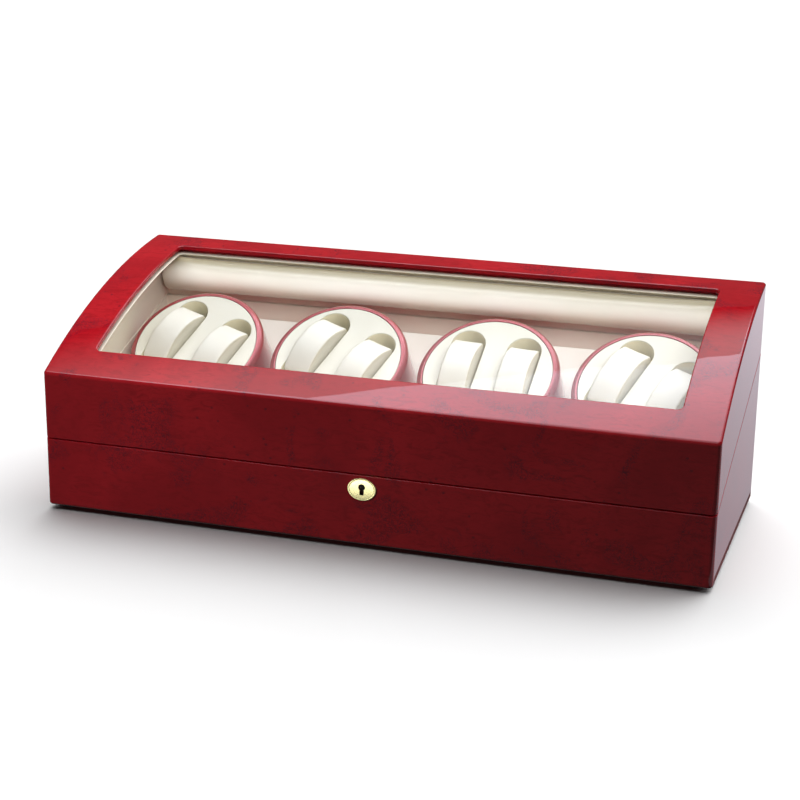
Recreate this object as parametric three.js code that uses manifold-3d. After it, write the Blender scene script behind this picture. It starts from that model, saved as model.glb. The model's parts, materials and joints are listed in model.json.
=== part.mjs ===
// A watch winder box for eight watches: a lacquered wooden case with a curved window lid,
// four tilted turntables and their geared motors. Millimetres, +Z up, front towards -Y.
// The origin is under the middle of the object, at the level of the feet.
import * as THREE from "three";
import { mergeVertices } from "three/addons/utils/BufferGeometryUtils.js";
import Module from "manifold-3d";

const wasm = await Module();
wasm.setup();

// ---------------------------------------------------------------- driving dimensions
const WIDTH = 540;
const DEPTH = 218;
const FRONT_HEIGHT = 111; // underside of the case to the sharp front top edge
const BACK_HEIGHT = 184;
const PART_FRONT = 56; // height of the joint between lid and base, at the front
const PART_BACK = 126;
const PART_GAP = 0.6;
const ROOF_RISE = 12.5; // how far the curved roof bows above its own chord
const ROOF_STEPS = 12;
const FOOT_HEIGHT = 3.5;
const FOOT_RADIUS = 6;
const FOOT_INSET = 13;
const WALL = 12;
const ROOF_THICKNESS = 10;
const EDGE_ROUND = 3;
const CLEAR = 0.3; // gap between pieces that rest on each other
const LINER = 3;
const UPSTAND = 12; // how far the base liner stands above the joint
const BACK_LINER_FRONT = DEPTH - 16;
const BACK_LINER_REAR = DEPTH - 12.8;
const BOTTOM_PANEL = 6;

const BOLSTER_Z = 158.5;
const BOLSTER_REACH = 19; // how far the padded roll bulges into the lid
const BOLSTER_HALF_HEIGHT = 22;

const WINDOW_SIDE = 33.5; // width of the roof frame at each end
const WINDOW_FRONT = 27;
const WINDOW_BACK = DEPTH - 26;
const WINDOW_CORNER = 4;
const PANE_DEPTH = 3.5; // roof surface to the top of the pane
const PANE_THICKNESS = 3;
const PANE_LAP = 6;
const LINER_REVEAL = 1.5; // how far the cream edge shows inside the wooden opening

const TABLES = 4;
const TABLE_PITCH = 128;
const TABLE_TILT = THREE.MathUtils.degToRad(38);
const TABLE_Y = 122; // centre of a turntable's face, from the case's front
const TABLE_Z = 112; // and above the case's underside
const TABLE_SPIN = [-18.5, -20.5, -3, -21].map(THREE.MathUtils.degToRad);
const DRUM_RADIUS = 58.5;
const DRUM_HEIGHT = 42.8;
const DRUM_INNER = 53.2;
const DRUM_FLOOR = 4;
const LIP_ROUND = 5;
const DECK_DROP = 44; // face to deck, along the turntable's axis
const DECK_THICKNESS = 4;
const TRAY_Z = 24;

const POCKET_OFFSET = 23.7;
const POCKET_HALF_WIDTH = 14.2;
const POCKET_HALF_LENGTH = 40;
const POCKET_DEPTH = 31.8; // leaves a floor of about 7 mm
const CUSHION_HALF_WIDTH = 13.2;
const CUSHION_HALF_LENGTH = 29.8;
const CUSHION_CROWN = 12.5;
const CUSHION_WAIST = 18; // where the straight ends turn into the rounded underside
const CUSHION_DEPTH = 31.5;

const GEAR_MODULE = 1.5;
const GEAR_TEETH = 24;
const PINION_TEETH = 10;
const GEAR_BACKLASH = 0.3;
const GEAR_TOP = -55;
const GEAR_FACE = 5;
const SPINDLE_RADIUS = 3;
const BUSH_RADIUS = 6.5;
const RAIL_TOP = -64;
const RAIL_SHEET = 1.5;
const RAIL_HALF_WIDTH = 26;
const MOTOR_RADIUS = 12;
const MOTOR_LENGTH = 28;

const HINGE_X = 165;
const HINGE_LENGTH = 38;
const KNUCKLE_RADIUS = 2.5;
const HINGE_PIN_RADIUS = 1;
const HINGE_OUT = 1.5; // pin axis behind the back face
const LEAF_THICKNESS = 1.3;
const LEAF_WIDTH = 9;

const KEY_Z = 46.5; // keyhole centre above the case's underside
const PLATE_Z = 45; // centre of the oval escutcheon
const PLATE_HALF_WIDTH = 11.6;
const PLATE_HALF_HEIGHT = 9;
const PLATE_PROUD = 1;

const PANEL_X = 150;
const PANEL_Z = 53;
const PANEL_WIDTH = 80;
const PANEL_HEIGHT = 30;

// ---------------------------------------------------------------- the object's frame
// The case is drawn from its front lower edge (y from the front face, z from the underside),
// then moved so that the origin is under the middle of everything, feet and hinges included.
const CASE_Y = (PLATE_PROUD - DEPTH - HINGE_OUT - KNUCKLE_RADIUS) / 2;
const caseGroup = new THREE.Group();
caseGroup.position.set(0, CASE_Y, FOOT_HEIGHT);
const object = new THREE.Group();
object.add(caseGroup);

const partingSlope = (PART_BACK - PART_FRONT) / DEPTH;
const partingAt = (y) => PART_FRONT + partingSlope * y;

// The roof is one circular arc from the front top edge to the back top edge.
const chord = Math.hypot(DEPTH, BACK_HEIGHT - FRONT_HEIGHT);
const ROOF_RADIUS = (chord * chord / 4 + ROOF_RISE * ROOF_RISE) / (2 * ROOF_RISE);
const roofCentre = new THREE.Vector2(
  DEPTH / 2 + (ROOF_RADIUS - ROOF_RISE) * (BACK_HEIGHT - FRONT_HEIGHT) / chord,
  (FRONT_HEIGHT + BACK_HEIGHT) / 2 - (ROOF_RADIUS - ROOF_RISE) * DEPTH / chord,
);
const roofZ = (y, depth = 0) =>
  roofCentre.y + Math.sqrt((ROOF_RADIUS - depth) ** 2 - (y - roofCentre.x) ** 2);
const roofAngle = (y, depth = 0) => Math.acos((y - roofCentre.x) / (ROOF_RADIUS - depth));

// ---------------------------------------------------------------- materials
const finish = (color, roughness, metalness = 0) =>
  new THREE.MeshStandardMaterial({ color, roughness, metalness });
const lacquer = finish(0x8a1420, 0.12);
const cream = finish(0xe9e4d2, 0.6);
const glass = new THREE.MeshStandardMaterial({
  color: 0xf4f8f8, roughness: 0.05, transparent: true, opacity: 0.25,
});
const brass = finish(0xd9c25c, 0.25, 1);
const steel = finish(0xb8bcc0, 0.35, 1);
const rubber = finish(0x111111, 0.8);
const blackPlastic = finish(0x18181a, 0.4);
const gearPlastic = finish(0xe8e6df, 0.5);
const bronze = finish(0xa97c45, 0.4, 1);
const board = finish(0x1d5a33, 0.5);
const rawPanel = finish(0x5b4636, 0.8);

// ---------------------------------------------------------------- shape helpers
function solid(geometry) {
  const bare = geometry.index ? geometry.toNonIndexed() : geometry.clone();
  bare.deleteAttribute("normal");
  bare.deleteAttribute("uv");
  const merged = mergeVertices(bare, 1e-4);
  return new wasm.Manifold(new wasm.Mesh({
    numProp: 3,
    vertProperties: merged.attributes.position.array,
    triVerts: new Uint32Array(merged.index.array),
  }));
}

function geometryOf(manifold) {
  const { vertProperties, triVerts } = manifold.getMesh();
  const geometry = new THREE.BufferGeometry();
  geometry.setAttribute("position", new THREE.BufferAttribute(new Float32Array(vertProperties), 3));
  geometry.setIndex(new THREE.BufferAttribute(new Uint32Array(triVerts), 1));
  geometry.computeVertexNormals();
  return geometry;
}

function piece(parent, name, shape, material) {
  const mesh = new THREE.Mesh(shape.isBufferGeometry ? shape : geometryOf(shape), material);
  mesh.name = name;
  parent.add(mesh);
  return mesh;
}

const block = (x0, x1, y0, y1, z0, z1) =>
  solid(new THREE.BoxGeometry(x1 - x0, y1 - y0, z1 - z0)
    .translate((x0 + x1) / 2, (y0 + y1) / 2, (z0 + z1) / 2));

// A shape drawn in (y, z), extruded along X from x0 to x1.
const alongX = (shape, x0, x1, curveSegments = 12) =>
  solid(new THREE.ExtrudeGeometry(shape, { depth: x1 - x0, bevelEnabled: false, curveSegments })
    .applyMatrix4(new THREE.Matrix4().set(0, 0, 1, x0, 1, 0, 0, 0, 0, 1, 0, 0, 0, 0, 0, 1)));

// A shape drawn in (x, y), extruded upwards from z0 to z1.
const alongZ = (shape, z0, z1, curveSegments = 12) =>
  solid(new THREE.ExtrudeGeometry(shape, { depth: z1 - z0, bevelEnabled: false, curveSegments })
    .translate(0, 0, z0));

// A shape drawn in (x, z), extruded backwards from y0 to y1.
const alongY = (shape, y0, y1, curveSegments = 12) =>
  solid(new THREE.ExtrudeGeometry(shape, { depth: y1 - y0, bevelEnabled: false, curveSegments })
    .rotateX(Math.PI / 2).translate(0, y1, 0));

const polygon = (points) => new THREE.Shape(points.map(([a, b]) => new THREE.Vector2(a, b)));

// A closed outline of [radius, height] points, turned about Z.
function turned(points, segments = 32) {
  const outline = points.map(([r, z]) => new THREE.Vector2(r, z));
  if (THREE.ShapeUtils.isClockWise(outline)) outline.reverse();
  const onAxis = outline.every(({ x }) => x > 0) ? [...outline, outline[0]] : outline;
  return solid(new THREE.LatheGeometry(onAxis, segments).rotateX(Math.PI / 2));
}

const post = (radius, z0, z1, segments = 24) =>
  solid(new THREE.CylinderGeometry(radius, radius, z1 - z0, segments)
    .rotateX(Math.PI / 2).translate(0, 0, (z0 + z1) / 2));

// Turns a solid drawn about Z to stand about a Y axis at (x, z).
const aboutY = (shape, x, z) => shape.rotate([-90, 0, 0]).translate([x, 0, z]);

function roundedRectangle(x0, x1, y0, y1, r) {
  const shape = new THREE.Shape();
  shape.moveTo(x0 + r, y0);
  shape.lineTo(x1 - r, y0);
  shape.absarc(x1 - r, y0 + r, r, -Math.PI / 2, 0);
  shape.lineTo(x1, y1 - r);
  shape.absarc(x1 - r, y1 - r, r, 0, Math.PI / 2);
  shape.lineTo(x0 + r, y1);
  shape.absarc(x0 + r, y1 - r, r, Math.PI / 2, Math.PI);
  shape.lineTo(x0, y0 + r);
  shape.absarc(x0 + r, y0 + r, r, Math.PI, Math.PI * 1.5);
  return shape;
}

// The part of the side view between two depths under the roof, from y0 to y1.
function roofBand(y0, y1, outerDepth, innerDepth) {
  const shape = new THREE.Shape();
  const { x, y } = roofCentre;
  shape.absarc(x, y, ROOF_RADIUS - outerDepth, roofAngle(y1, outerDepth), roofAngle(y0, outerDepth));
  shape.absarc(x, y, ROOF_RADIUS - innerDepth, roofAngle(y0, innerDepth), roofAngle(y1, innerDepth), true);
  return shape;
}

// The side view from a line parallel to the joint up to a depth under the roof.
function underRoof(y0, y1, aboveJoint, depth) {
  const shape = new THREE.Shape();
  shape.moveTo(y0, partingAt(y0) + aboveJoint);
  shape.lineTo(y1, partingAt(y1) + aboveJoint);
  shape.lineTo(y1, roofZ(y1, depth));
  shape.absarc(roofCentre.x, roofCentre.y, ROOF_RADIUS - depth, roofAngle(y1, depth), roofAngle(y0, depth));
  return shape;
}

const openingCut = (grow) =>
  alongZ(roundedRectangle(
    -WIDTH / 2 + WINDOW_SIDE - grow, WIDTH / 2 - WINDOW_SIDE + grow,
    WINDOW_FRONT - grow, WINDOW_BACK + grow, WINDOW_CORNER,
  ), PART_FRONT, BACK_HEIGHT + ROOF_RISE, 4);

// ---------------------------------------------------------------- wooden case
// Side view of the lid's outside: the parting line, the back, the roof arc and rounded top edges.
function lidOutline() {
  const shape = new THREE.Shape();
  const backStart = DEPTH - EDGE_ROUND;
  shape.moveTo(0, partingAt(0) + PART_GAP);
  shape.lineTo(DEPTH, partingAt(DEPTH) + PART_GAP);
  shape.lineTo(DEPTH, BACK_HEIGHT - EDGE_ROUND);
  shape.quadraticCurveTo(DEPTH, BACK_HEIGHT, backStart, roofZ(backStart));
  shape.absarc(roofCentre.x, roofCentre.y, ROOF_RADIUS, roofAngle(backStart), roofAngle(EDGE_ROUND));
  shape.quadraticCurveTo(0, FRONT_HEIGHT, 0, FRONT_HEIGHT - EDGE_ROUND);
  return shape;
}

function lidShell() {
  const half = WIDTH / 2;
  const inner = half - WALL;
  const rabbet = half - WINDOW_SIDE + PANE_LAP + CLEAR;
  return alongX(lidOutline(), -half, half, ROOF_STEPS)
    .subtract(alongX(underRoof(WALL, DEPTH - WALL, -WALL, ROOF_THICKNESS), -inner, inner, ROOF_STEPS))
    .subtract(openingCut(0))
    .subtract(alongX(roofBand(
      WINDOW_FRONT - PANE_LAP - CLEAR, WINDOW_BACK + PANE_LAP + CLEAR,
      PANE_DEPTH - CLEAR, ROOF_THICKNESS + 1,
    ), -rabbet, rabbet, ROOF_STEPS))
    .subtract(strikeShape(CLEAR))
    .subtract(leafCut(-HINGE_X, 1))
    .subtract(leafCut(HINGE_X, 1));
}

const windowPane = () =>
  alongX(roofBand(
    WINDOW_FRONT - PANE_LAP, WINDOW_BACK + PANE_LAP, PANE_DEPTH, PANE_DEPTH + PANE_THICKNESS,
  ), -WIDTH / 2 + WINDOW_SIDE - PANE_LAP, WIDTH / 2 - WINDOW_SIDE + PANE_LAP, ROOF_STEPS);

// Cream lining of the lid: front, sides and a ceiling flange whose raised ring holds the pane.
function lidLiner() {
  const outer = WIDTH / 2 - WALL - CLEAR;
  const ceiling = ROOF_THICKNESS + CLEAR;
  const front = WALL + CLEAR;
  const back = DEPTH - WALL - CLEAR;
  const lap = WIDTH / 2 - WINDOW_SIDE + PANE_LAP - CLEAR;
  const bottom = UPSTAND + PART_GAP;
  const hollow = underRoof(front + LINER, DEPTH, 0, ceiling + LINER);
  return alongX(underRoof(front, back, bottom, ceiling), -outer, outer, ROOF_STEPS)
    .subtract(alongX(hollow, -outer + LINER, outer - LINER, ROOF_STEPS))
    .add(alongX(roofBand(
      WINDOW_FRONT - PANE_LAP + CLEAR, WINDOW_BACK + PANE_LAP - CLEAR,
      PANE_DEPTH + PANE_THICKNESS + CLEAR, ceiling + LINER,
    ), -lap, lap, ROOF_STEPS))
    .subtract(openingCut(-LINER_REVEAL));
}

// Padded roll along the back of the lid, under the ceiling flange.
function lidBolster() {
  const half = WIDTH / 2 - WALL - LINER - 3 * CLEAR;
  const back = DEPTH - WALL - 2 * CLEAR;
  const roll = new THREE.Shape();
  roll.absellipse(back, BOLSTER_Z, BOLSTER_REACH, BOLSTER_HALF_HEIGHT, Math.PI / 2, Math.PI * 1.5);
  const ceiling = ROOF_THICKNESS + LINER + 2 * CLEAR;
  return alongX(roll, -half, half, 14)
    .intersect(alongX(underRoof(0, DEPTH, 0, ceiling), -half, half, ROOF_STEPS));
}

// The side view from a level line up to a line parallel to the joint.
const belowJoint = (y0, y1, z0, aboveJoint) => polygon([
  [y0, z0], [y1, z0], [y1, partingAt(y1) + aboveJoint], [y0, partingAt(y0) + aboveJoint],
]);

function baseShell() {
  const half = WIDTH / 2;
  const inner = half - WALL;
  return alongX(belowJoint(0, DEPTH, 0, 0), -half, half)
    .subtract(alongX(belowJoint(WALL, DEPTH - WALL, -1, WALL), -inner, inner))
    .subtract(alongY(keyhole(1.2), -1, WALL))
    .subtract(alongY(oval(PLATE_HALF_WIDTH + CLEAR, PLATE_HALF_HEIGHT + CLEAR), -1, 1, 16))
    .subtract(block(
      -LOCK_HALF_WIDTH - CLEAR, LOCK_HALF_WIDTH + CLEAR,
      LOCK_FRONT - CLEAR, WALL + 1, LOCK_BOTTOM - CLEAR, PART_FRONT + WALL,
    ))
    .subtract(block(
      PANEL_X - PANEL_WIDTH / 2, PANEL_X + PANEL_WIDTH / 2,
      DEPTH - WALL - 1, DEPTH + 1, PANEL_Z - PANEL_HEIGHT / 2, PANEL_Z + PANEL_HEIGHT / 2,
    ))
    .subtract(leafCut(-HINGE_X, -1))
    .subtract(leafCut(HINGE_X, -1));
}

const bottomPanel = () =>
  block(
    -WIDTH / 2 + WALL + CLEAR, WIDTH / 2 - WALL - CLEAR,
    WALL + CLEAR, DEPTH - WALL - CLEAR, 0, BOTTOM_PANEL,
  );

// Cream lining of the base: one ring of four walls that stands above the joint.
function baseLiner() {
  const outer = WIDTH / 2 - WALL - CLEAR;
  const floor = BOTTOM_PANEL + CLEAR;
  const hollow = belowJoint(WALL + CLEAR + LINER, BACK_LINER_FRONT, floor - 1, UPSTAND + 1);
  return alongX(belowJoint(WALL + CLEAR, BACK_LINER_REAR, floor, UPSTAND), -outer, outer)
    .subtract(alongX(hollow, -outer + LINER, outer - LINER))
    .subtract(block(
      -LOCK_HALF_WIDTH - CLEAR, LOCK_HALF_WIDTH + CLEAR,
      WALL, WALL + LINER + 1, LOCK_BOTTOM - CLEAR, PART_FRONT + 2 * UPSTAND,
    ))
    .subtract(block(
      PANEL_X - PANEL_WIDTH / 2 - 6, PANEL_X + PANEL_WIDTH / 2 + 6,
      BACK_LINER_FRONT - 1, DEPTH, PANEL_Z - PANEL_HEIGHT / 2 - 6, PANEL_Z + PANEL_HEIGHT / 2 + 6,
    ));
}

// The cream deck: a level tray at the front that bends up into the slope under the turntables.
function deckPanel() {
  const slope = Math.tan(TABLE_TILT);
  const deckY = TABLE_Y + DECK_DROP * Math.sin(TABLE_TILT);
  const deckZ = TABLE_Z - DECK_DROP * Math.cos(TABLE_TILT);
  const bendY = deckY - (deckZ - TRAY_Z) / slope;
  const front = WALL + LINER + 2 * CLEAR;
  const back = BACK_LINER_FRONT - CLEAR;
  const backZ = TRAY_Z + (back - bendY) * slope;
  const drop = DECK_THICKNESS / Math.cos(TABLE_TILT);
  const half = WIDTH / 2 - WALL - LINER - 2 * CLEAR;
  const sheet = alongX(polygon([
    [front, TRAY_Z - DECK_THICKNESS],
    [bendY + (drop - DECK_THICKNESS) / slope, TRAY_Z - DECK_THICKNESS],
    [back, backZ - drop],
    [back, backZ],
    [bendY, TRAY_Z],
    [front, TRAY_Z],
  ]), -half, half);
  const hole = post(BUSH_RADIUS + CLEAR, -DECK_DROP - 3 * DECK_THICKNESS, -DECK_DROP + 1, 20)
    .rotate([THREE.MathUtils.radToDeg(TABLE_TILT), 0, 0]);
  return tableCentres.reduce(
    (deck, x) => deck.subtract(hole.translate([x, TABLE_Y, TABLE_Z])),
    sheet,
  );
}

function foot() {
  return turned([
    [0, -FOOT_HEIGHT], [FOOT_RADIUS - 1.5, -FOOT_HEIGHT], [FOOT_RADIUS, -FOOT_HEIGHT + 1.5],
    [FOOT_RADIUS, 0], [0, 0],
  ], 20);
}

// ---------------------------------------------------------------- hinges
const hingeAxisY = DEPTH + HINGE_OUT;
const hingeAxisZ = partingAt(hingeAxisY) + PART_GAP / 2;
const partingTilt = Math.atan(partingSlope);
const KNUCKLES = 3;
const KNUCKLE_GAP = 0.4;

// Puts a solid drawn about the pin, with the parting plane level, at its place on the case.
const atHinge = (shape, x) =>
  shape.rotate([THREE.MathUtils.radToDeg(partingTilt), 0, 0]).translate([x, hingeAxisY, hingeAxisZ]);

const alongPin = (radius, x0, x1, segments) =>
  solid(new THREE.CylinderGeometry(radius, radius, x1 - x0, segments)
    .rotateZ(Math.PI / 2).translate((x0 + x1) / 2, 0, 0));

// side is 1 for the lid's leaf and -1 for the base's.
function hingeLeaf(x, side) {
  const half = HINGE_LENGTH / 2;
  const inner = PART_GAP / 4;
  const plate = side > 0
    ? block(-half, half, -LEAF_WIDTH, -KNUCKLE_RADIUS + 1, inner, inner + LEAF_THICKNESS)
    : block(-half, half, -LEAF_WIDTH, -KNUCKLE_RADIUS + 1, -inner - LEAF_THICKNESS, -inner);
  const step = HINGE_LENGTH / KNUCKLES;
  let leaf = plate;
  for (let i = 0; i < KNUCKLES; i += 1) {
    const x0 = -half + i * step + (i ? KNUCKLE_GAP / 2 : 0);
    const x1 = -half + (i + 1) * step - (i < KNUCKLES - 1 ? KNUCKLE_GAP / 2 : 0);
    const own = (i % 2 === 0) === (side < 0);
    const notch = block(
      x0 - KNUCKLE_GAP, x1 + KNUCKLE_GAP,
      -KNUCKLE_RADIUS - 0.5, KNUCKLE_RADIUS, -LEAF_WIDTH, LEAF_WIDTH,
    );
    leaf = own ? leaf.add(alongPin(KNUCKLE_RADIUS, x0, x1, 16)) : leaf.subtract(notch);
  }
  return atHinge(leaf.subtract(alongPin(HINGE_PIN_RADIUS + CLEAR, -half - 1, half + 1, 12)), x);
}

// The recess for a leaf and its knuckles in the rim of the lid (side 1) or the base (side -1).
function leafCut(x, side) {
  const half = HINGE_LENGTH / 2 + CLEAR;
  const reach = LEAF_THICKNESS + PART_GAP;
  const seat = block(-half, half, -LEAF_WIDTH - CLEAR, 0, side > 0 ? -1 : -reach, side > 0 ? reach : 1);
  return atHinge(seat.add(alongPin(KNUCKLE_RADIUS + 2 * CLEAR, -half, half, 20)), x);
}

const hingePin = (x) =>
  atHinge(alongPin(HINGE_PIN_RADIUS, -HINGE_LENGTH / 2 - 0.8, HINGE_LENGTH / 2 + 0.8, 12), x);

// ---------------------------------------------------------------- lock
const LOCK_HALF_WIDTH = 22;
const LOCK_FRONT = 5;
const LOCK_BACK = WALL + CLEAR + LINER;
const LOCK_BOTTOM = 34;
const LOCK_TOP = 57;
const STAPLE_X = 12; // middle of the loop on the strike
const STAPLE_THICKNESS = 2.4;
const STAPLE_FRONT = 9.2;
const STAPLE_BACK = 14;
const STAPLE_DEPTH = 8;
const BOLT_BOTTOM = 50.6;
const BOLT_TOP = 54;
const BOLT_FRONT = 10.6;
const BOLT_BACK = 12.6;
const BOLT_THROW = 7;
const BIT_REACH = BOLT_THROW / Math.SQRT2; // a quarter turn of the bit carries the bolt its throw
const TUMBLER_RADIUS = 3;

function oval(halfWidth, halfHeight) {
  const shape = new THREE.Shape();
  shape.absellipse(0, PLATE_Z, halfWidth, halfHeight, 0, Math.PI * 2);
  return shape;
}

function keyhole(grow) {
  const r = 2.8 + grow;
  const slot = 1.7 + grow;
  const dip = 6.2 + grow;
  const shoulder = Math.sqrt(r * r - slot * slot);
  const shape = new THREE.Shape();
  shape.moveTo(-slot, KEY_Z - dip);
  shape.lineTo(slot, KEY_Z - dip);
  shape.lineTo(slot, KEY_Z - shoulder);
  shape.absarc(0, KEY_Z, r, -Math.acos(slot / r), Math.PI + Math.acos(slot / r));
  return shape;
}

const escutcheon = () =>
  alongY(oval(PLATE_HALF_WIDTH, PLATE_HALF_HEIGHT), -PLATE_PROUD, 1 - CLEAR, 24)
    .subtract(alongY(keyhole(0), -PLATE_PROUD - 1, 2));

function lockCase() {
  const swing = STAPLE_DEPTH * 0.4;
  return block(-LOCK_HALF_WIDTH, LOCK_HALF_WIDTH, LOCK_FRONT, LOCK_BACK, LOCK_BOTTOM, LOCK_TOP)
    .subtract(block( // slot that the staple drops into
      STAPLE_X - STAPLE_THICKNESS, STAPLE_X + STAPLE_THICKNESS,
      STAPLE_FRONT - swing, LOCK_BACK - 0.8, LOCK_TOP - STAPLE_DEPTH - 1.5, LOCK_TOP + 1,
    ))
    .subtract(block( // channel for the bolt
      -LOCK_HALF_WIDTH + 3, LOCK_HALF_WIDTH - 2,
      BOLT_FRONT - CLEAR, BOLT_BACK + CLEAR, BOLT_BOTTOM - CLEAR, BOLT_TOP + CLEAR,
    ))
    .subtract(aboutY(post(TUMBLER_RADIUS + CLEAR, LOCK_FRONT - 1, LOCK_BACK - 0.8, 16), 0, KEY_Z))
    .subtract(aboutY(post(BIT_REACH + 1, BOLT_FRONT - CLEAR, BOLT_BACK + CLEAR, 20), 0, KEY_Z));
}

// Drawn at rest, unlocked: the bit leans an eighth of a turn to the left.
function lockTumbler() {
  const barrel = aboutY(post(TUMBLER_RADIUS, LOCK_FRONT + 1.5, LOCK_BACK - 1.2, 16), 0, 0);
  const bit = block(-0.9, 0.9, BOLT_FRONT, BOLT_BACK, 0, BIT_REACH);
  return barrel.subtract(block(-0.8, 0.8, 0, LOCK_FRONT + 4, -TUMBLER_RADIUS - 1, 0.8))
    .add(bit.rotate([0, -45, 0])).translate([0, 0, KEY_Z]);
}

function lockBolt() {
  const tip = STAPLE_X - STAPLE_THICKNESS - 1;
  const notch = 2.2;
  const middle = -BOLT_THROW / 2;
  return block(-LOCK_HALF_WIDTH + 4, tip, BOLT_FRONT, BOLT_BACK, BOLT_BOTTOM, BOLT_TOP)
    .subtract(block(middle - notch, middle + notch, 0, WALL + 9, 0, KEY_Z + BIT_REACH + 0.8));
}

// The strike on the lid: a plate let into the rim, and a loop for the bolt.
function strikeShape(grow) {
  const front = 3.5 - grow;
  const back = STAPLE_BACK + grow;
  const low = grow ? 0 : PART_GAP;
  const high = PART_GAP + 1.5 + grow;
  return alongX(polygon([
    [front, partingAt(front) + low], [back, partingAt(back) + low],
    [back, partingAt(back) + high], [front, partingAt(front) + high],
  ]), STAPLE_X - 16 - grow, STAPLE_X + 8 + grow);
}

function strikePlate() {
  const half = STAPLE_THICKNESS / 2;
  const bottom = LOCK_TOP - STAPLE_DEPTH;
  const top = partingAt(STAPLE_FRONT) + PART_GAP + 0.8;
  return strikeShape(0)
    .add(block(STAPLE_X - half, STAPLE_X + half, STAPLE_FRONT, STAPLE_BACK, bottom, top))
    .subtract(block(
      STAPLE_X - 3, STAPLE_X + 3,
      BOLT_FRONT - CLEAR, BOLT_BACK + CLEAR, BOLT_BOTTOM - CLEAR, BOLT_TOP + CLEAR,
    ));
}

// ---------------------------------------------------------------- rear panel
const panelBack = DEPTH - WALL - CLEAR;
const SHAFT_RADIUS = 3;
const SOCKET_RADIUS = 5.5;
const SOCKET_X = PANEL_X + 20;
const KNOB_X = PANEL_X - 18;
const BOARD_Y = DEPTH - 27;

const rearPanel = () =>
  block(
    PANEL_X - PANEL_WIDTH / 2 - 4, PANEL_X + PANEL_WIDTH / 2 + 4, panelBack - 2, panelBack,
    PANEL_Z - PANEL_HEIGHT / 2 - 4, PANEL_Z + PANEL_HEIGHT / 2 + 4,
  )
    .subtract(aboutY(post(SHAFT_RADIUS + 2 * CLEAR, 0, DEPTH, 16), KNOB_X, PANEL_Z))
    .subtract(aboutY(post(SOCKET_RADIUS + CLEAR, 0, DEPTH, 16), SOCKET_X, PANEL_Z));

const dcSocket = () =>
  aboutY(turned([
    [0, BOARD_Y + 3], [SOCKET_RADIUS, BOARD_Y + 3], [SOCKET_RADIUS, panelBack + CLEAR],
    [SOCKET_RADIUS + 2, panelBack + CLEAR], [SOCKET_RADIUS + 2, panelBack + 2],
    [SOCKET_RADIUS - 0.5, panelBack + 3.5], [2.8, panelBack + 3.5], [2.8, panelBack - 6],
    [1, panelBack - 6], [1, panelBack + 2.5], [0, panelBack + 2.5],
  ], 16), SOCKET_X, PANEL_Z);

const modeKnob = () =>
  aboutY(turned([
    [0, BOARD_Y + 3], [SHAFT_RADIUS, BOARD_Y + 3], [SHAFT_RADIUS, panelBack + 1], [8.5, panelBack + 1],
    [8.5, panelBack + 4], [7.5, panelBack + 7], [0, panelBack + 7],
  ], 20), KNOB_X, PANEL_Z)
    .add(block(KNOB_X - 1.2, KNOB_X + 1.2, panelBack + 4, panelBack + 9.5, PANEL_Z - 6.5, PANEL_Z + 8));

const controlBoard = () =>
  block(PANEL_X - 32, PANEL_X + 32, BOARD_Y, BOARD_Y + 1.6, PANEL_Z - 16, PANEL_Z + 18);

// ---------------------------------------------------------------- turntables and drives
const gearRadius = GEAR_MODULE * GEAR_TEETH / 2;
const pinionRadius = GEAR_MODULE * PINION_TEETH / 2;
const driveOffset = gearRadius + pinionRadius + GEAR_BACKLASH;
const tableCentres = Array.from({ length: TABLES }, (_, i) => (i - (TABLES - 1) / 2) * TABLE_PITCH);

// Straight-flanked teeth: full at the root, narrow at the tip. The first tooth, or gap, points along +X.
function gearOutline(teeth, startsWithGap) {
  const pitch = GEAR_MODULE * teeth / 2;
  const step = Math.PI * 2 / teeth;
  const root = pitch - 1.15 * GEAR_MODULE;
  const tip = pitch + 0.9 * GEAR_MODULE;
  const points = [];
  for (let i = 0; i < teeth; i += 1) {
    const middle = (i + (startsWithGap ? 0.5 : 0)) * step;
    for (const [radius, share] of [[root, -0.36], [tip, -0.11], [tip, 0.11], [root, 0.36]]) {
      const a = middle + share * step;
      points.push([radius * Math.cos(a), radius * Math.sin(a)]);
    }
  }
  return polygon(points);
}

const spindleGear = () =>
  alongZ(gearOutline(GEAR_TEETH, false), GEAR_TOP - GEAR_FACE, GEAR_TOP)
    .add(post(8, GEAR_TOP - GEAR_FACE - 1, GEAR_TOP + 2, 16))
    .add(post(SPINDLE_RADIUS, RAIL_TOP + 1, -DRUM_HEIGHT + DRUM_FLOOR, 16));

const pinion = () =>
  alongZ(gearOutline(PINION_TEETH, true), GEAR_TOP - GEAR_FACE - 1, GEAR_TOP + 1)
    .add(post(1.5, RAIL_TOP - RAIL_SHEET - CLEAR, GEAR_TOP + 3, 12));

function bearingBush() {
  const under = -DECK_DROP - DECK_THICKNESS - CLEAR;
  return turned([
    [SPINDLE_RADIUS + CLEAR, under - 2.5], [BUSH_RADIUS + 2.5, under - 2.5],
    [BUSH_RADIUS + 2.5, under], [BUSH_RADIUS, under],
    [BUSH_RADIUS, -DECK_DROP], [SPINDLE_RADIUS + CLEAR, -DECK_DROP],
  ], 16);
}

function motor() {
  const top = RAIL_TOP - RAIL_SHEET - 2 * CLEAR;
  const bottom = RAIL_TOP - MOTOR_LENGTH;
  return turned([
    [0, top], [MOTOR_RADIUS - 1, top], [MOTOR_RADIUS, top - 1], [MOTOR_RADIUS, bottom],
    [4, bottom], [4, bottom - 2], [0, bottom - 2],
  ], 20);
}

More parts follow.
